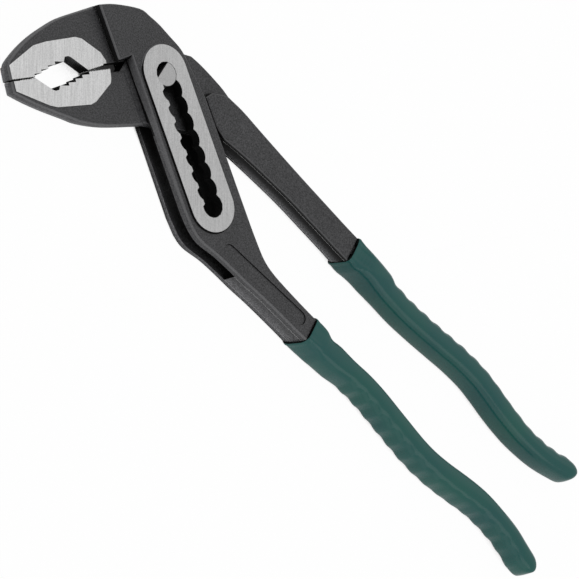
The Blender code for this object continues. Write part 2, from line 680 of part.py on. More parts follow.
def section(place, heading, widths, half_height, corner, outside=0, bump=0.0):
    """A rounded box across the handle, with its own width to each side and a bump on the outer one."""
    across = Vector((-heading.y, heading.x))
    points = []
    for quarter in range(4):
        right = 1 if quarter in (0, 3) else -1
        up = 1 if quarter in (0, 1) else -1
        for i in range(CORNER_STEPS):
            angle = math.pi / 2 * (quarter + i / (CORNER_STEPS - 1))
            side = right * (widths[right] - corner) + corner * math.cos(angle)
            height = up * (half_height - corner) + corner * math.sin(angle)
            side += outside * bump * max(0.0, outside * math.cos(angle)) ** 2
            spot = place + side * across
            points.append((spot.x, spot.y, MIDDLE + height))
    return points


def eased(start, end, value):
    """A smooth step from nought at the start to one at the end."""
    share = min(max((value - start) / (end - start), 0), 1)
    return share * share * (3 - 2 * share)


def widths_at(line, x):
    """A grip's half-widths at a plan X: to the upper side as 1, to the lower side as -1."""
    for before, after in zip(line, line[1:]):
        if x <= after.x or after == line[-1]:
            found = before.lerp(after, (x - before.x) / (after.x - before.x))
            return {1: found.y, -1: found.z}


def bump_height(x, start, end):
    """Height of the grip's bumps at a plan X: one wave a pitch, lower where the handle bends inwards."""
    if not start < x < end:
        return 0.0
    wave = (1 - math.cos(2 * math.pi * (x - start) / BUMP_PITCH)) / 2
    low = start + (end - start) * BUMP_LOW_SHARE
    fade = eased(low - BUMP_FADE, low, x) * (1 - eased(low, low + BUMP_FADE, x))
    return BUMP_HEIGHT * wave * (1 - BUMP_LOW_SHARE * fade)


def sheared(points, mouth):
    """Section points moved along X so that the grip's mouth leans."""
    moved = []
    for x, y, height in points:
        share = 1 - eased(mouth, mouth + GUARD_LENGTH, x)
        moved.append((x + MOUTH_LEAN_SHARE * (height - MIDDLE) * share, y, height))
    return moved


def grip(name, shares, width_shares, reach, frame, mouth_share, guard_length, outside):
    """A dipped grip: a closed sleeve over the tang, with a guard at its mouth and bumps outside."""
    mouth = frame(reach * mouth_share, 0).x + GRIP_CLEARANCE
    tip = frame(reach, 0).x
    body_end = tip - GRIP_WIDTH / 2
    bumps_end = tip - BUMP_END
    bumps_start = bumps_end - GRIP_BUMPS * BUMP_PITCH
    table = []
    for along, upper, lower in width_shares:
        table.append(Vector((frame(reach * along, 0).x, GRIP_WIDTH * upper, GRIP_WIDTH * lower)))
    line = smooth(table)
    mesh = bmesh.new()
    outer = []
    count = round((body_end - mouth) / BUMP_PITCH * 4)
    for place, heading in walk(shares, reach, frame, mouth, body_end, count):
        guard = 1 - eased(mouth + guard_length / 2, mouth + guard_length, place.x)
        slim = 1 - (1 - GRIP_TIP_SHARE) * eased(mouth + (tip - mouth) * GRIP_TAPER_SHARE, tip, place.x)
        half_height = (GRIP_THICKNESS + (GUARD_THICKNESS - GRIP_THICKNESS) * guard) / 2 * slim
        widths = widths_at(line, place.x)
        facing = squared(place, heading, mouth)
        bump = bump_height(place.x, bumps_start, bumps_end)
        outer.append(sheared(section(place, facing, widths, half_height, GRIP_CORNER, outside, bump), mouth))
    end_place, end_heading = walk(shares, reach, frame, body_end, tip, 1)[0]
    for i in range(1, CORNER_STEPS + 1):
        turn = math.pi / 2 * i / (CORNER_STEPS + 0.5)
        centre = end_place + end_heading * (GRIP_WIDTH / 2 * math.sin(turn))
        size = math.cos(turn)
        end_widths = {side: width * size for side, width in widths.items()}
        end_height = half_height * (TIP_EDGE_SHARE + (1 - TIP_EDGE_SHARE) * size)
        outer.append(section(centre, end_heading, end_widths, end_height, GRIP_CORNER * size))
    tang_width = GRIP_WIDTH / 2 - GRIP_WALL
    cavity = {1: tang_width, -1: tang_width}
    tang_height = tang_half() + GRIP_CLEARANCE
    inner_end = tip - GRIP_END_WALL + GRIP_CLEARANCE
    inner = []
    for place, heading in walk(shares, reach, frame, mouth, inner_end, ROUND_SIDES // 4):
        facing = squared(place, heading, mouth)
        inner.append(sheared(section(place, facing, cavity, tang_height, FORGING_EDGE), mouth))
    rings = [[mesh.verts.new(point) for point in loop] for loop in list(reversed(outer)) + inner]
    skin(mesh, rings)
    return finish(name, mesh)


# Materials
def material(name, colour, roughness, metallic):
    """A plain surface."""
    made = bpy.data.materials.new(name)
    made.use_nodes = True
    shader = made.node_tree.nodes["Principled BSDF"]
    shader.inputs["Base Color"].default_value = colour
    shader.inputs["Roughness"].default_value = roughness
    shader.inputs["Metallic"].default_value = metallic
    return made


def dress(obj, surface):
    """Gives an object its material and smooth round faces."""
    obj.data.materials.clear()
    obj.data.materials.append(surface)
    obj.data.shade_smooth()
    obj.data.set_sharp_from_angle(angle=SMOOTH_ANGLE)


def middle_of(objects):
    """The plan middle of the objects' common box."""
    corners = [vertex.co for obj in objects for vertex in obj.data.vertices]
    lows = [min(corner[axis] for corner in corners) for axis in range(2)]
    highs = [max(corner[axis] for corner in corners) for axis in range(2)]
    return Vector(((lows[0] + highs[0]) / 2, (lows[1] + highs[1]) / 2, 0))


def main():
    for obj in list(bpy.data.objects):
        bpy.data.objects.remove(obj)
    steel = material("black_forging", STEEL_COLOUR, 0.55, 0.3)
    ground = material("ground_steel", GROUND_COLOUR, 0.35, 1.0)
    dip = material("green_dip", GRIP_COLOUR, 0.25, 0.0)
    slotted = slotted_leg()
    inner = inner_leg()
    pin = pivot_pin()
    slotted_grip = grip("slotted_leg_grip", HANDLE_SPINE_SHARES, HANDLE_WIDTH_SHARES, HANDLE_REACH, end_point,
                        MOUTH_SHARE, GUARD_LENGTH, -1)
    inner_grip = grip("inner_leg_grip", INNER_SPINE_SHARES, INNER_WIDTH_SHARES, INNER_REACH, plain_point,
                      INNER_MOUTH_SHARE, INNER_GUARD_LENGTH, 1)
    for obj, surface in ((slotted, steel), (inner, steel), (pin, ground), (slotted_grip, dip), (inner_grip, dip)):
        dress(obj, surface)
    pieces = [slotted, inner, pin, slotted_grip, inner_grip]
    pin_axis = bpy.data.objects.new("pin_axis", None)
    bpy.context.collection.objects.link(pin_axis)
    pin_axis.location = -middle_of(pieces)
    for obj in pieces:
        obj.parent = pin_axis


main()
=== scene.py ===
"""Dresses the adjustable pliers: blackened forgings with ground faces, a D pin and dipped grips.

The pliers lie on a pale sheet in a soft studio, seen as in the photograph.
"""

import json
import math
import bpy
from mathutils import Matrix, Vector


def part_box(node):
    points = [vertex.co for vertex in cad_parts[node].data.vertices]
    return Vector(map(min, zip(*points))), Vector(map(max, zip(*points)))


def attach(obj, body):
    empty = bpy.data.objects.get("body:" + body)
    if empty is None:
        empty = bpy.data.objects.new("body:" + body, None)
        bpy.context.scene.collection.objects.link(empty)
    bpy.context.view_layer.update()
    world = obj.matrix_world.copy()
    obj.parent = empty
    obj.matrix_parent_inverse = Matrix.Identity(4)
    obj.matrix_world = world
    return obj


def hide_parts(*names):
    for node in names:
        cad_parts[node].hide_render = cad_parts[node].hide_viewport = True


bl_info = {
    "name": "Adjustable Pliers",
    "version": (1, 0, 0),
    "blender": (4, 5, 0),
    "location": "View3D > Sidebar > Pliers",
    "description": "Steel, pin, grips and studio of a pair of box-joint pliers",
    "category": "Object",
}

import bmesh
import bpy
from bpy.props import FloatProperty, FloatVectorProperty, IntProperty, PointerProperty
from mathutils import Matrix, Vector

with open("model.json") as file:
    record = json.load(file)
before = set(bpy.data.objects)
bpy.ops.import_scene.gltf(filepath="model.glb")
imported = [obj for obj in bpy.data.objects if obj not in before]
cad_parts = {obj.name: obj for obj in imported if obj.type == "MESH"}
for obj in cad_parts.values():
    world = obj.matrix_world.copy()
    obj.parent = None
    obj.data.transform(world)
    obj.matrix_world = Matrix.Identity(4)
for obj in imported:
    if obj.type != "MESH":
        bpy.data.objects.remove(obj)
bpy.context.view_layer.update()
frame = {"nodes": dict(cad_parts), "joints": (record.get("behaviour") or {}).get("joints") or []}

MM = 0.001
JOINTS = {joint["name"]: joint for joint in frame["joints"]}
PIN = Vector(JOINTS["leg_hinge"]["pos_m"])
SLOT_DIRECTION = Vector(JOINTS["slot_slide"]["axis"])
SLOT_ACROSS = Vector((-SLOT_DIRECTION.y, SLOT_DIRECTION.x, 0))

# Heights of the tool's ground faces over its middle plane and how exactly each is met, and the
# height over which the walls beside the jaws' faces rise, in millimetres
RING_FACE = PIN.z / MM
RING_MARGIN = 0.06
PAD_FACE = 2.45
PAD_MARGIN = 0.03
WALL_FOOT = 2.35

# The slot in millimetres: the pin's travel, the slot's half width with a little to spare, and the
# foot of the raised ring round it
SLOT_TRAVEL = JOINTS["slot_slide"]["range_m"][1] / MM
SLOT_SIDE = 4.6
RING_FOOT = (8.3, 9.3)

# The step from the upper jaw to the thicker head: the way it faces, its distance from the pin and
# how exactly that is met, in millimetres
STEP_FACING = Vector((-0.58, -0.81, 0))
STEP_AWAY = 15.2
STEP_MARGIN = 0.6

# The cheek's foot beside the lower jaw, in millimetres: how far along the slot it goes, how far
# out it stands, and the heights between which the jaw's shade ends
JAW_SIDE = 17.0
CHEEK_SIDE = 13.0
JAW_SHADE_ENDS = (3.2, 4.0)

# How near the painted shade on the step and the cheek's foot comes to the slot's black
STEP_SHADE = 0.85

# How level a face is, from 0 for a wall to 1 for a flat face: up to where it is a wall, up to
# where it slopes, between which values a wall's painted light and shade turns into a flat face's,
# and between which the grey of a rounded edge, partly worn and partly a painted highlight, sets in
# and ends
WALL = 0.2
SLOPE = 0.9
WALL_TO_FACE = (0.4, 0.8)
WEAR_AND_HIGHLIGHT_STARTS = (0.15, 0.26)
WEAR_AND_HIGHLIGHT_ENDS = (0.88, 0.96)

# The reach in metres of the painted shade, which partly stands for oil, in the slot, the box and
# the throat, and the openness between which it gives way to the bare forging
RECESS_REACH = 12 * MM
RECESS_ENDS = (0.50, 0.63)

# Where the head turns into the handle, along the tool from the pin, and the heights between which
# the side walls' lower half turns into their upper half, in millimetres
HEAD_TO_HANDLE = (12.0, 18.0)
PARTING = (-3.0, 1.5)

# How light the side walls are painted against the flat faces, as painted light and shade, in the
# upper half of the head and of the handle and in the lower half, and the share of the handle's
# upper half that is kept out of the painted black shade
FLANKS = {
    "slotted_leg": {"head": 1.3, "handle": 1.3, "lower": 3.6, "unshaded": 1.0},
    "inner_leg": {"head": 1.3, "handle": 0.4, "lower": 4.6, "unshaded": 0.3},
}

# The direction of the grinding lines on the jaws, nearly straight up the photograph, and their
# length, their pitch and a scale that leaves the height as it is, in millimetres
GRINDING_TURN = math.radians(119)
GRINDING_SIZE = (9.0, 0.30, 1.0)

# The way that the pin's flat faces
FLAT_FACING = -0.856 * SLOT_DIRECTION - 0.517 * SLOT_ACROSS

# Angles between faces from which an edge is the pin's end, is shaded sharp, or is a grip's mouth
PIN_EDGE = math.radians(40)
SHARP_EDGE = math.radians(50)
MOUTH_EDGE = math.radians(65)

# The share of the dip's fullness over the mouth's limit that is pressed out of it
PRESSED = 0.95

# The painted shadow under the slits between the closed jaws, from the middle of the jaws' hole and
# in metres: the way they run and the way across, where they are centred, how far they reach each
# way and how far aside, the edge of the light hole, and how much they darken the sheet
SLIT_ALONG = Vector((0.689, 0.725, 0))
SLIT_ASIDE = Vector((-0.725, 0.689, 0))
SLIT_CENTRE = 6 * MM
SLIT_REACH = 27 * MM
SLIT_WIDTH = 2 * MM
HOLE_EDGE = (8 * MM, 9 * MM)
SLIT_SHADE = 0.28

# The share of the sheet's whiteness that the camera sees as it is, a glow that carries painted
# shadow, while the rest keeps the real shadow, and the openness between which the painted shadow
# under a gap turns to white
WHITE_SHARE = 0.98
GAP_ENDS = (0.08, 0.16)

# The distances from the frame's middle between which the sheet's painted reflection in the tool
# grows brighter, and how bright it is beyond them
GLOSS_REACH = (0.13, 0.35)
GLOSS_FAR = 0.60

# Each lamp's place in metres, its size and its share of the power
LAMPS = {
    "softbox": ((0.46, -0.46, 0.76), 0.50, 1.3),
    "far_lamp": ((0.30, 0.80, 0.85), 0.90, 0.95),
    "front_lamp": ((0.10, -0.95, 0.35), 0.80, 1.4),
}

# The photograph's camera: its focal length and the picture's width in pixels, the sensor's width
# in millimetres, its place from the pin's foot in metres, the way it looks and the way up
FOCAL_LENGTH = 5772.6
PICTURE_WIDTH = 579
SENSOR_WIDTH = 36
CAMERA_PLACE = Vector((-0.68176799, -0.94565571, 1.38547724))
CAMERA_FORWARD = Vector((0.4158669, 0.5045232, -0.75664461))
CAMERA_UP = Vector((-0.60265899, 0.77597626, 0.18618001))


def linear(code):
    """An sRGB hex colour as linear red, green, blue and full alpha."""
    values = [int(code[i:i + 2], 16) / 255 for i in (1, 3, 5)]
    return [v / 12.92 if v <= 0.04045 else ((v + 0.055) / 1.055) ** 2.4 for v in values] + [1.0]


# Materials
def add(tree, kind, inputs=(), stops=(), **settings):
    """Adds a node with its settings, its inputs and, on a colour ramp, its stops.

    The inputs come in the order of the sockets or by their names. Each is a value, a socket that
    feeds it, or a node whose first output does. A stop is a place and a colour.
    """
    made = tree.nodes.new(kind)
    for name, value in settings.items():
        setattr(made, name, value)
    for name, value in inputs.items() if isinstance(inputs, dict) else enumerate(inputs):
        if isinstance(value, bpy.types.Node):
            value = value.outputs[0]
        if isinstance(value, bpy.types.NodeSocket):
            tree.links.new(value, made.inputs[name])
        else:
            made.inputs[name].default_value = value
    for index, (place, colour) in enumerate(stops):
        made.color_ramp.elements[index].position = place
        made.color_ramp.elements[index].color = linear(colour)
    return made


def blank_material(name):
    """A material with no nodes, and its node tree."""
    material = bpy.data.materials.new(name)
    material.use_nodes = True
    material.node_tree.nodes.clear()
    return material, material.node_tree


def places(tree):
    """Object coordinates in millimetres from the pin's middle."""
    spot = add(tree, "ShaderNodeTexCoord").outputs["Object"]
    centred = add(tree, "ShaderNodeVectorMath", (spot, PIN), operation="SUBTRACT")
    return add(tree, "ShaderNodeVectorMath", {0: centred, "Scale": 1 / MM}, operation="SCALE")


def head_shade(tree, where, height, level):
    """How far the head is painted black as shade, partly standing for oil, up to one in the slot
    and round the ring's foot.
    """
    along, across, towards = (
        add(tree, "ShaderNodeVectorMath", (where, way), operation="DOT_PRODUCT").outputs["Value"]
        for way in (SLOT_DIRECTION, SLOT_ACROSS, STEP_FACING)
    )
    # Distance from the line that the pin's middle follows
    nearest = add(tree, "ShaderNodeClamp", (along, 0.0, SLOT_TRAVEL))
    past = add(tree, "ShaderNodeMath", (along, nearest), operation="SUBTRACT")
    away = add(tree, "ShaderNodeCombineXYZ", (past, across))
    reach = add(tree, "ShaderNodeVectorMath", (away,), operation="LENGTH").outputs["Value"]
    # The slot, and the wall at the foot of the raised ring
    inside = add(tree, "ShaderNodeMath", (reach, SLOT_SIDE), operation="LESS_THAN")
    beyond = add(tree, "ShaderNodeMath", (reach, RING_FOOT[0]), operation="GREATER_THAN")
    within = add(tree, "ShaderNodeMath", (reach, RING_FOOT[1]), operation="LESS_THAN")
    sloping = add(tree, "ShaderNodeMath", (level, SLOPE), operation="LESS_THAN")
    foot = add(tree, "ShaderNodeMath", (beyond, within), operation="MULTIPLY")
    wall = add(tree, "ShaderNodeMath", (foot, sloping), operation="MULTIPLY")
    slot = add(tree, "ShaderNodeMath", (inside, wall), operation="MAXIMUM")
    # The upright walls over the jaws' faces, of which the step is one
    raised = add(tree, "ShaderNodeMath", (height, WALL_FOOT), operation="GREATER_THAN")
    steep = add(tree, "ShaderNodeMath", (level, WALL), operation="LESS_THAN")
    above = add(tree, "ShaderNodeMath", (raised, steep), operation="MULTIPLY")
    met = add(tree, "ShaderNodeMath", (towards, STEP_AWAY, STEP_MARGIN), operation="COMPARE")
    step = add(tree, "ShaderNodeMath", (met, above), operation="MULTIPLY")
    # The cheek's foot beside the lower jaw
    short = add(tree, "ShaderNodeMath", (along, JAW_SIDE), operation="LESS_THAN")
    close = add(tree, "ShaderNodeMath", (reach, CHEEK_SIDE), operation="LESS_THAN")
    under = add(tree, "ShaderNodeMapRange", (height, *JAW_SHADE_ENDS, 1.0, 0.0))
    beside = add(tree, "ShaderNodeMath", (short, close), operation="MULTIPLY")
    shaded = add(tree, "ShaderNodeMath", (beside, under), operation="MULTIPLY")
    low = add(tree, "ShaderNodeMath", (shaded, above), operation="MULTIPLY")
    either = add(tree, "ShaderNodeMath", (step, low), operation="MAXIMUM")
    walls_shaded = add(tree, "ShaderNodeMath", (either, STEP_SHADE), operation="MULTIPLY")
    return add(tree, "ShaderNodeMath", (slot, walls_shaded), operation="MAXIMUM")


def forged_skin(tree, settings, where, spot, level, flank):
    """The blackened skin of a drop forging, shot-blasted before its blackening.

    The blasting leaves a fine orange peel that scatters the light, so the black reads as a soft
    dark grey.
    """
    # Peel of about half a millimetre, coarser than the real one, so that it shows as it does in
    # the photograph
    peel = add(tree, "ShaderNodeTexNoise", {"Vector": where, "Scale": 1 / settings.peel_pitch,
                                            "Detail": 4.0, "Roughness": 0.75})
    shade = add(tree, "ShaderNodeValToRGB", (peel,), ((0.38, "#1A1A1C"), (0.64, "#555557")))
    # Clouds of about 11 mm, where the blackening took more or less
    cloud = add(tree, "ShaderNodeTexNoise", {"Vector": where, "Scale": 0.09, "Detail": 2.0})
    patina = add(tree, "ShaderNodeMapRange", (cloud, 0.3, 0.7, 0.88, 1.08))
    # Side walls lean a few degrees either way from the parting line, and their tones are painted
    # light
    # and shade: the half that looks down to the pale sheet is painted lighter, as if lit from the
    # sheet, and the upper half a little lighter, but darker on the inner leg's handle
    upper = add(tree, "ShaderNodeMapRange",
                (spot["X"], *HEAD_TO_HANDLE, flank["head"], flank["handle"]))
    wall = add(tree, "ShaderNodeMapRange", (spot["Z"], *PARTING, flank["lower"], upper),
               interpolation_type="SMOOTHSTEP")
    side = add(tree, "ShaderNodeMapRange", (level, *WALL_TO_FACE, wall, 1.0))
    tones = add(tree, "ShaderNodeMath", (patina, side), operation="MULTIPLY")
    toned = add(tree, "ShaderNodeVectorMath", {0: shade, "Scale": tones}, operation="SCALE")
    # The rounded edges of the flat faces are turned grey, partly worn by handling and partly a
    # painted highlight
    edge_start = add(tree, "ShaderNodeMapRange", (level, *WEAR_AND_HIGHLIGHT_STARTS, 0.0, settings.edge_wear_and_highlight))
    edge_end = add(tree, "ShaderNodeMapRange", (level, *WEAR_AND_HIGHLIGHT_ENDS, 1.0, 0.0))
    wear_and_highlight = add(tree, "ShaderNodeMath", (edge_start, edge_end), operation="MULTIPLY")
    edged = add(tree, "ShaderNodeMix", {0: wear_and_highlight, 6: toned, 7: linear("#8A8A8C")},
                data_type="RGBA").outputs[2]
    dents = add(tree, "ShaderNodeBump", {"Height": peel, "Strength": 0.5, "Distance": 0.06 * MM})
    return add(tree, "ShaderNodeBsdfPrincipled", {"Base Color": edged, "Metallic": 0.0,
                                                  "Roughness": 0.46, "IOR": 1.5, "Normal": dents})


def clear_of_shade_and_oil(tree, spot, level, flank, shade):
    """How much of the forging is kept out of the painted shade, which blackens the slot, the box
    and the throat by their openness and there partly stands for oil.

    The painted shade also darkens the upper half of a handle's side walls. The shade is None, or
    how far the painted shade blackens the head by place.
    """
    recess = add(tree, "ShaderNodeAmbientOcclusion", {"Distance": RECESS_REACH}, samples=8)
    lit = add(tree, "ShaderNodeMapRange", (recess.outputs["AO"], *RECESS_ENDS, 0.0, 1.0))
    if shade:
        clear = add(tree, "ShaderNodeMath", (1.0, shade), operation="SUBTRACT")
        lit = add(tree, "ShaderNodeMath", (lit, clear), operation="MULTIPLY")
    upper = add(tree, "ShaderNodeMapRange", (spot["X"], *HEAD_TO_HANDLE, 1.0, flank["unshaded"]))
    wall = add(tree, "ShaderNodeMapRange", (spot["Z"], *PARTING, 1.0, upper))
    unshaded = add(tree, "ShaderNodeMapRange", (level, *WALL_TO_FACE, wall, 1.0))
    return add(tree, "ShaderNodeMath", (lit, unshaded), operation="MULTIPLY")


def ground_steel(tree, where, pads):
    """Bare tool steel, ground after the blackening: bright, with fine lines that blur its gloss."""
    turned = add(tree, "ShaderNodeMapping", {"Vector": where, "Rotation": (0, 0, GRINDING_TURN),
                                             "Scale": GRINDING_SIZE}, vector_type="TEXTURE")
    # Lines and a grain of 0.3 mm, coarser than the real ones, so that they show
    lines = add(tree, "ShaderNodeTexNoise", {"Vector": turned, "Scale": 1.0, "Detail": 3.0,
                                             "Roughness": 0.6})
    grain = add(tree, "ShaderNodeTexNoise", {"Vector": where, "Scale": 3.5, "Detail": 2.0})
    mixed = add(tree, "ShaderNodeMath", (lines, grain), operation="ADD")
    even = add(tree, "ShaderNodeMath", (mixed, 0.5), operation="MULTIPLY")
    tone = add(tree, "ShaderNodeValToRGB", (even,), ((0.38, "#DCDCDC"), (0.62, "#FFFFFF")))
    scratches = add(tree, "ShaderNodeBump", {"Height": lines, "Strength": 0.12,
                                             "Distance": 0.02 * MM})
    # The jaws are ground finer than the ring, so they shine more
    finer = add(tree, "ShaderNodeMix", {0: pads, 6: linear("#DCDCDC"), 7: linear("#F8F8F8")},
                data_type="RGBA").outputs[2]
    steel = add(tree, "ShaderNodeVectorMath", (tone, finer), operation="MULTIPLY")
    return add(tree, "ShaderNodeBsdfPrincipled", {"Base Color": steel, "Metallic": 1.0,
                                                  "Roughness": 0.42, "Normal": scratches})


def blackened_forging(settings, leg, flank):
    """A leg's steel: the blackened skin, and ground steel on the ring and the jaws."""
    material, tree = blank_material(f"blackened_forging_of_{leg}")
    where = places(tree)
    spot = add(tree, "ShaderNodeSeparateXYZ", (where,)).outputs
    height = add(tree, "ShaderNodeMath", (spot["Z"],), operation="ABSOLUTE")
    normal = add(tree, "ShaderNodeNewGeometry").outputs["Normal"]
    upward = add(tree, "ShaderNodeSeparateXYZ", (normal,)).outputs["Z"]
    level = add(tree, "ShaderNodeMath", (upward,), operation="ABSOLUTE")
    forged = forged_skin(tree, settings, where, spot, level, flank)
    # Painted shade, partly standing for oil, blackens the head's slot, the ring's foot, the step
    # and the cheek's foot
    shade = head_shade(tree, where, height, level) if leg == "slotted_leg" else None
    bare = clear_of_shade_and_oil(tree, spot, level, flank, shade)
    # The near black matt finish put where painted shade falls, which in the recesses partly stands
    # for oil
    oil_and_shade_black = add(tree, "ShaderNodeBsdfPrincipled", {"Base Color": linear("#0C0C0C"), "Roughness": 0.8,
                                                  "Specular IOR Level": 0.1})
    body = add(tree, "ShaderNodeMixShader", (bare, oil_and_shade_black, forged))
    ring = add(tree, "ShaderNodeMath", (height, RING_FACE - RING_MARGIN), operation="GREATER_THAN")
    over = add(tree, "ShaderNodeMath", (height, PAD_FACE - PAD_MARGIN), operation="GREATER_THAN")
    under = add(tree, "ShaderNodeMath", (height, PAD_FACE + PAD_MARGIN), operation="LESS_THAN")
    pads = add(tree, "ShaderNodeMath", (over, under), operation="MULTIPLY")
    bright = add(tree, "ShaderNodeMath", (ring, pads), operation="MAXIMUM")
    both = add(tree, "ShaderNodeMixShader", (bright, body, ground_steel(tree, where, pads)))
    add(tree, "ShaderNodeOutputMaterial", {"Surface": both})
    return material


def ground_pin_steel():
    """The pin's hardened steel, its end ground with the ring: fine even grain, no direction."""
    material, tree = blank_material("ground_pin_steel")
    # Grain of 0.3 mm, as coarse as the ring's, so that it shows
    grain = add(tree, "ShaderNodeTexNoise", {"Vector": places(tree), "Scale": 3.5, "Detail": 3.0})
    tone = add(tree, "ShaderNodeValToRGB", (grain,), ((0.3, "#B2B2B2"), (0.7, "#D0D0D0")))
    steel = add(tree, "ShaderNodeBsdfPrincipled", {"Base Color": tone, "Metallic": 1.0,
                                                   "Roughness": 0.4})
    add(tree, "ShaderNodeOutputMaterial", {"Surface": steel})
    return material


def dipped_plastic():
    """Plasticised PVC dip: an even, deep colour under a smooth wet-looking skin."""
    material, tree = blank_material("dipped_pvc")
    where = places(tree)
    # Slow clouds of 20 mm in the colour, and ripples of 3 mm, as the dip sets while it drips off
    cloud = add(tree, "ShaderNodeTexNoise", {"Vector": where, "Scale": 0.05, "Detail": 2.0})
    tone = add(tree, "ShaderNodeValToRGB", (cloud,), ((0.35, "#225957"), (0.65, "#255F57")))
    ripple = add(tree, "ShaderNodeTexNoise", {"Vector": where, "Scale": 0.35, "Detail": 1.0})
    waves = add(tree, "ShaderNodeBump", {"Height": ripple, "Strength": 0.3, "Distance": 0.05 * MM})
    plastic = add(tree, "ShaderNodeBsdfPrincipled", {"Base Color": tone, "Roughness": 0.20,
                                                     "IOR": 1.42, "Normal": waves})
    add(tree, "ShaderNodeOutputMaterial", {"Surface": plastic})
    return material


def shaded_rim():
    """The cut end of the dip at its mouth and its inside, painted near black as the shadow in the
    gap there, so it shows as a thin black line.
    """
    material, tree = blank_material("dipped_pvc_painted_shadow")
    # Specks of about 0.7 mm
    specks = add(tree, "ShaderNodeTexNoise", {"Vector": places(tree), "Scale": 1.5, "Detail": 2.0})
    tone = add(tree, "ShaderNodeValToRGB", (specks,), ((0.0, "#060C0B"), (1.0, "#101A18")))
    matt = add(tree, "ShaderNodeBsdfPrincipled", {"Base Color": tone, "Roughness": 0.8,
                                                  "Specular IOR Level": 0.2})
    add(tree, "ShaderNodeOutputMaterial", {"Surface": matt})
    return material


def slit_shade(tree, spot, middle):
    """How much painted shadow darkens the sheet under the slits between the closed jaws."""
    offset = add(tree, "ShaderNodeVectorMath", (spot, middle), operation="SUBTRACT")
    away = add(tree, "ShaderNodeVectorMath", (offset,), operation="LENGTH").outputs["Value"]
    slit = add(tree, "ShaderNodeMapRange", (away, *HOLE_EDGE, 0.0, SLIT_SHADE))
    ahead, aside = (
        add(tree, "ShaderNodeVectorMath", (offset, way), operation="DOT_PRODUCT").outputs["Value"]
        for way in (SLIT_ALONG, SLIT_ASIDE)
    )
    centred = add(tree, "ShaderNodeMath", (ahead, SLIT_CENTRE), operation="SUBTRACT")
    along = add(tree, "ShaderNodeMath", (centred,), operation="ABSOLUTE")
    off = add(tree, "ShaderNodeMath", (aside,), operation="ABSOLUTE")
    near = add(tree, "ShaderNodeMath", (along, SLIT_REACH), operation="LESS_THAN")
    line = add(tree, "ShaderNodeMath", (off, SLIT_WIDTH), operation="LESS_THAN")
    there = add(tree, "ShaderNodeMath", (near, line), operation="MULTIPLY")
    return add(tree, "ShaderNodeMath", (slit, there), operation="MULTIPLY")


def pale_paper(settings):
    """Smooth matt paper: white to the camera, with painted shade on its glow under the tool and in
    narrow gaps.
    """
    material, tree = blank_material("pale_paper")
    rays = add(tree, "ShaderNodeLightPath").outputs
    spot = add(tree, "ShaderNodeTexCoord").outputs["Object"]
    # Painted reflection: glossy rays see the sheet glow, darker near the tool as painted shade than
    # further out
    reach = add(tree, "ShaderNodeVectorMath", (spot,), operation="LENGTH").outputs["Value"]
    seen = add(tree, "ShaderNodeMapRange", (reach, *GLOSS_REACH, settings.shine, GLOSS_FAR))
    shining = add(tree, "ShaderNodeMath", (rays["Is Glossy Ray"], seen), operation="MULTIPLY")
    shown = add(tree, "ShaderNodeMath", (rays["Is Camera Ray"], WHITE_SHARE), operation="MULTIPLY")
    share = add(tree, "ShaderNodeMath", (shown, shining), operation="MAXIMUM")
    paper = add(tree, "ShaderNodeBsdfDiffuse", {"Color": settings.floor_colour})
    # Painted shadow: the sheet's glow is darkened under the tool and its narrow gaps, and under the
    # slits between the jaws
    covered = add(tree, "ShaderNodeAmbientOcclusion", {"Distance": settings.shade_reach}, samples=8)
    less = slit_shade(tree, spot, PIN + Vector(settings.mouth))
    left = add(tree, "ShaderNodeMath", (covered.outputs["AO"], less), operation="SUBTRACT")
    light = add(tree, "ShaderNodeMapRange", (left, *GAP_ENDS, 0.02, 1.0))
    glow = add(tree, "ShaderNodeEmission", {"Color": (1, 1, 1, 1), "Strength": light})
    both = add(tree, "ShaderNodeMixShader", (share, paper, glow))
    add(tree, "ShaderNodeOutputMaterial", {"Surface": both})
    return material


# Pieces
def give(piece, material):
    """Replaces the piece's materials by one."""
    piece.data.materials.clear()
    piece.data.materials.append(material)


def place_mesh(name, mesh, materials):
    """A bmesh as an object of the scene with its materials."""
    data = bpy.data.meshes.new(name)
    mesh.to_mesh(data)
    mesh.free()
    for material in materials:
        data.materials.append(material)
    made = bpy.data.objects.new(name, data)
    bpy.context.scene.collection.objects.link(made)
    return made


def stand_for(piece, body, node):
    """Makes a piece ride on a body and stand for a node."""
    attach(piece, body)
    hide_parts(node)


def merged_copy(node):
    """A bmesh of a node's mesh with its loose triangles merged and paired up."""
    mesh = bmesh.new()
    mesh.from_mesh(frame["nodes"][node].data)
    bmesh.ops.remove_doubles(mesh, verts=mesh.verts, dist=0.001 * MM)
    bmesh.ops.join_triangles(mesh, faces=mesh.faces, angle_face_threshold=math.radians(25),
                             angle_shape_threshold=math.radians(60))
    return mesh


class SteelSettings(bpy.types.PropertyGroup):
    """Finish of the forged legs."""

    peel_pitch: FloatProperty(
        name="Peel", description="Size of the orange peel's grains, in millimetres",
        default=0.45, min=0.1, max=2.0)
    # How grey the rounded edges turn, partly as worn and partly as a painted highlight
    edge_wear_and_highlight: FloatProperty(
        name="Wear", description="How far the edges are worn to bare grey",
        default=0.35, min=0, max=1)


class PinSettings(bpy.types.PropertyGroup):
    """Sizes of the pin's end."""

    radius: FloatProperty(
        name="Radius", description="Radius of the pin", default=3.9 * MM, unit="LENGTH")
    flat: FloatProperty(
        name="Flat", description="Distance of the pin's flat from its middle",
        default=1.70 * MM, unit="LENGTH")
    edge: FloatProperty(
        name="Edge", description="Rounding of the pin's ends", default=0.12 * MM, unit="LENGTH")


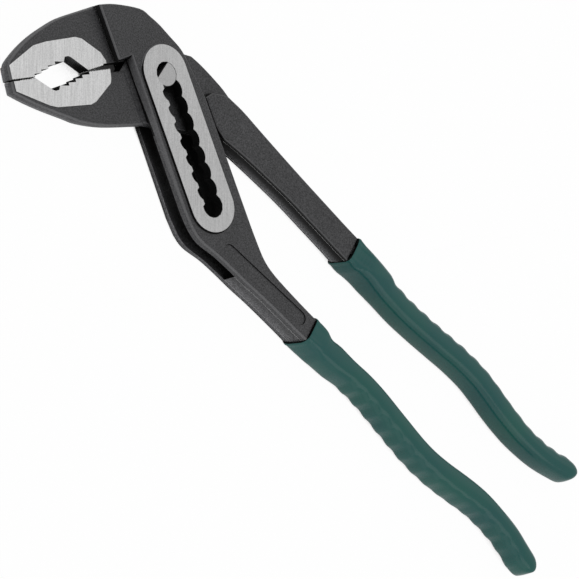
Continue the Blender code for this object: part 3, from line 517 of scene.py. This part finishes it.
class GripSettings(bpy.types.PropertyGroup):
    """Shape of the dipped grips' skin and of its mouth."""

    cuts: IntProperty(
        name="Smoothness", description="Times that each edge of the skin is cut",
        default=3, min=1, max=5)
    slotted_steel: FloatProperty(
        name="Slotted handle", description="Thickness of the slotted leg's steel at the mouth",
        default=10.0 * MM, unit="LENGTH")
    inner_steel: FloatProperty(
        name="Inner handle", description="Thickness of the inner leg's steel at the mouth",
        default=7.8 * MM, unit="LENGTH")
    lip: FloatProperty(
        name="Lip", description="Thickness of the dip at its mouth",
        default=0.6 * MM, unit="LENGTH")
    overlap: FloatProperty(
        name="Overlap", description="How far the mouth is drawn forward over the steel's face",
        default=1.0 * MM, unit="LENGTH")
    run_out: FloatProperty(
        name="Run-out", description="Length over which the dip thins to its mouth",
        default=9.0 * MM, unit="LENGTH")


class StageSettings(bpy.types.PropertyGroup):
    """Sheet and light."""

    floor_colour: FloatVectorProperty(
        name="Floor", description="Colour of the floor", subtype="COLOR", size=4,
        default=linear("#F4F4F4"), min=0, max=1)
    lamp_power: FloatProperty(
        name="Lamps", description="Power that the lamps have shares of",
        default=0.45, unit="POWER")
    # The reach of the painted shade on the sheet's glow
    shade_reach: FloatProperty(
        name="Shade", description="Reach of the shade under narrow gaps",
        default=10 * MM, unit="LENGTH")
    mouth: FloatVectorProperty(
        name="Mouth", description="Place on the sheet seen in the jaws' hole, from the pin",
        subtype="TRANSLATION", unit="LENGTH", default=(-0.0273, -0.0195, -0.00615))
    # How bright the sheet's painted reflection in the tool is near it
    shine: FloatProperty(
        name="Shine", description="How white the near sheet shines in the tool", default=0.25)
    fill: FloatProperty(
        name="Fill", description="Strength of the light from all round", default=0.60)


class PLIERS_OT_steel(bpy.types.Operator):
    """Gives the two forged legs their blackened steel and their ground faces"""

    bl_idname = "pliers.steel"
    bl_label = "Forged Legs"

    def execute(self, context):
        settings = context.scene.pliers_steel
        for leg, flank in FLANKS.items():
            give(frame["nodes"][leg], blackened_forging(settings, leg, flank))
        return {"FINISHED"}


class PLIERS_OT_pin(bpy.types.Operator):
    """Makes the pin with its D-shaped ends"""

    bl_idname = "pliers.pin"
    bl_label = "Pin"

    def execute(self, context):
        settings = context.scene.pliers_pin
        low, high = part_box("pivot_pin")
        mesh = bmesh.new()
        bmesh.ops.create_cone(mesh, cap_ends=True, segments=96, radius1=settings.radius,
                              radius2=settings.radius, depth=high.z - low.z,
                              matrix=Matrix.Translation((0, 0, (low.z + high.z) / 2)))
        everything = mesh.verts[:] + mesh.edges[:] + mesh.faces[:]
        sliced = bmesh.ops.bisect_plane(mesh, geom=everything, plane_co=FLAT_FACING * settings.flat,
                                        plane_no=FLAT_FACING, clear_outer=True)
        rim = [item for item in sliced["geom_cut"] if isinstance(item, bmesh.types.BMEdge)]
        bmesh.ops.contextual_create(mesh, geom=rim)
        edges = [edge for edge in mesh.edges if edge.calc_face_angle(0) > PIN_EDGE]
        bmesh.ops.bevel(mesh, geom=edges, offset=settings.edge, affect="EDGES", segments=3,
                        profile=0.5, material=-1)
        bmesh.ops.translate(mesh, verts=mesh.verts, vec=(PIN.x, PIN.y, 0))
        for face in mesh.faces:
            face.smooth = abs(face.normal.z) < 0.99
        bmesh.ops.recalc_face_normals(mesh, faces=mesh.faces)
        pin = place_mesh("d_pin", mesh, [ground_pin_steel()])
        stand_for(pin, "inner_half", "pivot_pin")
        return {"FINISHED"}


class PLIERS_OT_grips(bpy.types.Operator):
    """Smooths the dipped grips and gives them their glossy skin"""

    bl_idname = "pliers.grips"
    bl_label = "Dipped Grips"

    def execute(self, context):
        settings = context.scene.pliers_grips
        materials = [dipped_plastic(), shaded_rim()]
        for node, body, steel in (
            ("slotted_leg_grip", "slotted_half", settings.slotted_steel),
            ("inner_leg_grip", "inner_half", settings.inner_steel),
        ):
            mesh = merged_copy(node)
            skin = self.outside(mesh)
            # The faces off the skin, the mouth's end and the inside, take the painted shadow
            for face in mesh.faces:
                face.material_index = 0 if face in skin else 1
            self.settle_mouth(mesh, skin, steel / 2 + settings.lip, settings)
            edges = [edge for edge in mesh.edges if not skin.isdisjoint(edge.link_faces)]
            bmesh.ops.subdivide_edges(mesh, edges=edges, cuts=settings.cuts, smooth=1.0,
                                      smooth_falloff="LINEAR", use_grid_fill=True)
            for face in mesh.faces:
                face.smooth = True
            for edge in mesh.edges:
                edge.smooth = edge.calc_face_angle(0) < SHARP_EDGE
            # The rounding may not stand out over the node it replaces
            low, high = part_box(node)
            for vert in mesh.verts:
                vert.co.z = min(max(vert.co.z, low.z), high.z)
            grip = place_mesh(f"{node}_skin", mesh, materials)
            stand_for(grip, body, node)
        return {"FINISHED"}

    def settle_mouth(self, mesh, skin, height, settings):
        """Thins the dip towards its mouth, where it runs out on the steel's flat face."""
        dipped = [vert for vert in mesh.verts if not skin.isdisjoint(vert.link_faces)]
        rim = [vert for vert in dipped if not skin.issuperset(vert.link_faces)]
        low = min(rim, key=lambda vert: vert.co.z).co.copy()
        high = max(rim, key=lambda vert: vert.co.z).co.copy()
        slant = (high.x - low.x) / (high.z - low.z)
        full = high.z - PIN.z
        for vert in dipped:
            along = (vert.co.x - low.x - slant * (vert.co.z - low.z)) / settings.run_out
            share = min(max(along, 0), 1)
            limit = height + (full - height) * share * share * (3 - 2 * share)
            above = abs(vert.co.z - PIN.z) - limit
            if above > 0:
                vert.co.z -= math.copysign(above * PRESSED, vert.co.z - PIN.z)
            vert.co.x -= settings.overlap * max(vert.co.z - PIN.z, 0) / full * (1 - share)

    def outside(self, mesh):
        """The faces that can be reached from the tip without passing the mouth's sharp rim."""
        tip = max(mesh.verts, key=lambda vert: vert.co.x)
        found = set(tip.link_faces)
        reached = list(found)
        while reached:
            for edge in reached.pop().edges:
                if edge.calc_face_angle(0) < MOUTH_EDGE:
                    new = set(edge.link_faces) - found
                    found |= new
                    reached += new
        return found


class PLIERS_OT_stage(bpy.types.Operator):
    """Lays the pale floor, hangs the lamps and sets the camera"""

    bl_idname = "pliers.stage"
    bl_label = "Studio"

    def execute(self, context):
        settings = context.scene.pliers_stage
        self.floor(settings)
        self.lamps(context, settings)
        self.world(context, settings)
        self.camera(context)
        context.scene.view_settings.view_transform = "Standard"
        return {"FINISHED"}

    def floor(self, settings):
        """A wide pale sheet whose colour fills the background, and that keeps a faint shadow."""
        mesh = bmesh.new()
        bmesh.ops.create_grid(mesh, x_segments=1, y_segments=1, size=3.0)
        place_mesh("floor", mesh, [pale_paper(settings)])

    def lamps(self, context, settings):
        """A soft lamp over the tool, one beyond it and a low one before it."""
        for name, (place, size, share) in LAMPS.items():
            light = bpy.data.lights.new(name, "AREA")
            light.size = size
            light.energy = settings.lamp_power * share
            lamp = bpy.data.objects.new(name, light)
            context.scene.collection.objects.link(lamp)
            lamp.location = place
            lamp.rotation_euler = (-Vector(place)).to_track_quat("-Z", "Y").to_euler()

    def world(self, context, settings):
        """An even fill from all round, white to the camera."""
        world = bpy.data.worlds.new("studio")
        world.use_nodes = True
        tree = world.node_tree
        tree.nodes.clear()
        seen = add(tree, "ShaderNodeLightPath").outputs["Is Camera Ray"]
        fill, white = (
            add(tree, "ShaderNodeBackground", {"Color": (1, 1, 1, 1), "Strength": strength})
            for strength in (settings.fill, 1.0)
        )
        both = add(tree, "ShaderNodeMixShader", (seen, fill, white))
        add(tree, "ShaderNodeOutputWorld", {"Surface": both})
        context.scene.world = world

    def camera(self, context):
        """A long lens from the front left, rolled so that the tool lies slanting."""
        lens = bpy.data.cameras.new("camera")
        lens.sensor_width = SENSOR_WIDTH
        lens.lens = SENSOR_WIDTH * FOCAL_LENGTH / PICTURE_WIDTH
        lens.clip_start = 0.05
        lens.clip_end = 20
        camera = bpy.data.objects.new("camera", lens)
        context.scene.collection.objects.link(camera)
        right = CAMERA_FORWARD.cross(CAMERA_UP).normalized()
        turn = Matrix((right, CAMERA_UP, -CAMERA_FORWARD)).transposed().to_4x4()
        place = CAMERA_PLACE + Vector((PIN.x, PIN.y, 0))
        camera.matrix_world = Matrix.Translation(place) @ turn
        context.scene.camera = camera


OPERATORS = (PLIERS_OT_steel, PLIERS_OT_pin, PLIERS_OT_grips, PLIERS_OT_stage)
SETTINGS = (("pliers_steel", SteelSettings), ("pliers_pin", PinSettings),
            ("pliers_grips", GripSettings), ("pliers_stage", StageSettings))


class PLIERS_PT_panel(bpy.types.Panel):
    """Lists the pieces and their settings"""

    bl_idname = "PLIERS_PT_panel"
    bl_label = "Adjustable Pliers"
    bl_space_type = "VIEW_3D"
    bl_region_type = "UI"
    bl_category = "Pliers"

    def draw(self, context):
        for (name, group), operator in zip(SETTINGS, OPERATORS):
            box = self.layout.box()
            for field in group.__annotations__:
                box.prop(getattr(context.scene, name), field)
            box.operator(operator.bl_idname)


def register():
    """Registers the settings, the operators and the panel."""
    for name, group in SETTINGS:
        bpy.utils.register_class(group)
        setattr(bpy.types.Scene, name, PointerProperty(type=group))
    for operator in OPERATORS:
        bpy.utils.register_class(operator)
    bpy.utils.register_class(PLIERS_PT_panel)


def unregister():
    """Takes them away again."""
    bpy.utils.unregister_class(PLIERS_PT_panel)
    for operator in reversed(OPERATORS):
        bpy.utils.unregister_class(operator)
    for name, group in reversed(SETTINGS):
        delattr(bpy.types.Scene, name)
        bpy.utils.unregister_class(group)


def main():
    """Makes every piece in order."""
    register()
    bpy.ops.pliers.steel()
    bpy.ops.pliers.pin()
    bpy.ops.pliers.grips()
    bpy.ops.pliers.stage()
    bpy.context.view_layer.update()


if __name__ == "__main__":
    main()
